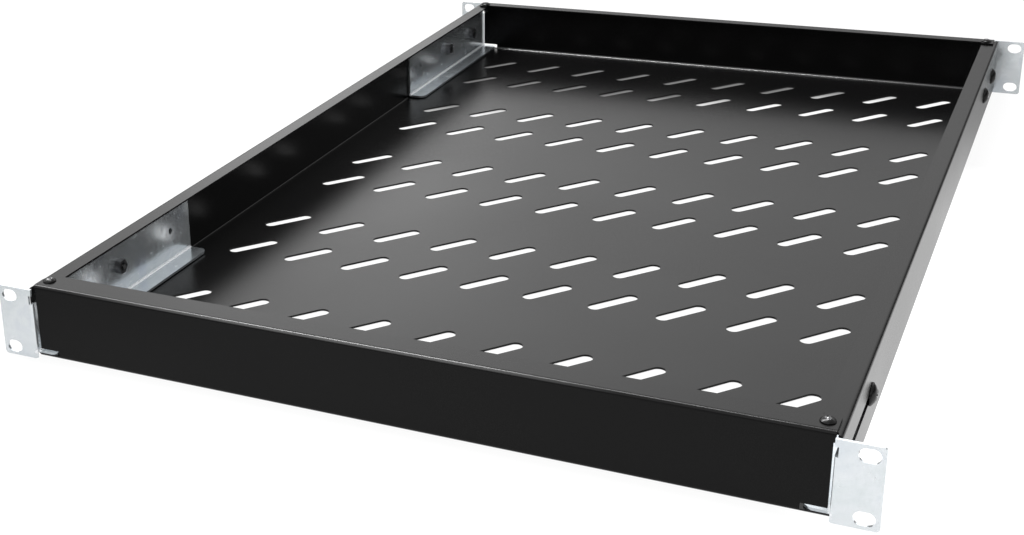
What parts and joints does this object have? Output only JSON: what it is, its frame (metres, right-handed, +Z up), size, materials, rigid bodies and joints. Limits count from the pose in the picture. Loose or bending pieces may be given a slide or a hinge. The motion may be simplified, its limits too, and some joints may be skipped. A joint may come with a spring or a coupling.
{
  "type": "rack shelf",
  "caption": "Vented rack shelf: a folded steel tray carried by zinc-plated rack brackets at its front and rear corners, with front brackets that slide to suit the rack's depth.",
  "frame": {"origin": "under the middle of the tray, level with the lower ends of the four ears", "axes": "+X to the right seen from the front, +Y from the front to the rear of the rack, +Z up"},
  "size_m": [0.4792, 0.7062, 0.0464],
  "materials": {
    "powder_coat": "satin black powder coat",
    "zinc_plate": "bright zinc plating with a faint blue passivation",
    "black_screw": "black zinc plating, semi-gloss",
    "nut_steel": "dark plated steel"
  },
  "bodies": {
    "tray": {"tray": "powder_coat", "bracket_rear_left": "zinc_plate", "bracket_rear_right": "zinc_plate", "side_screw_rear_outer_left": "black_screw", "side_screw_rear_outer_right": "black_screw", "side_screw_rear_inner_left": "black_screw", "side_screw_rear_inner_right": "black_screw", "side_nut_rear_outer_left": "nut_steel", "side_nut_rear_outer_right": "nut_steel", "side_nut_rear_inner_left": "nut_steel", "side_nut_rear_inner_right": "nut_steel", "corner_screw_front_left": "black_screw", "corner_screw_front_right": "black_screw", "corner_screw_rear_left": "black_screw", "corner_screw_rear_right": "black_screw"},
    "front_left": {"bracket_front_left": "zinc_plate", "side_screw_front_left": "black_screw", "side_nut_front_left": "nut_steel"},
    "front_right": {"bracket_front_right": "zinc_plate", "side_screw_front_right": "black_screw", "side_nut_front_right": "nut_steel"}
  },
  "joints": [
    {"name": "front_left_slide", "type": "slide", "parent": "tray", "child": "front_left", "axis": [0, -1, 0], "range_m": [0, 0.055]},
    {"name": "front_right_slide", "type": "slide", "parent": "tray", "child": "front_right", "axis": [0, -1, 0], "range_m": [0, 0.055]}
  ]
}
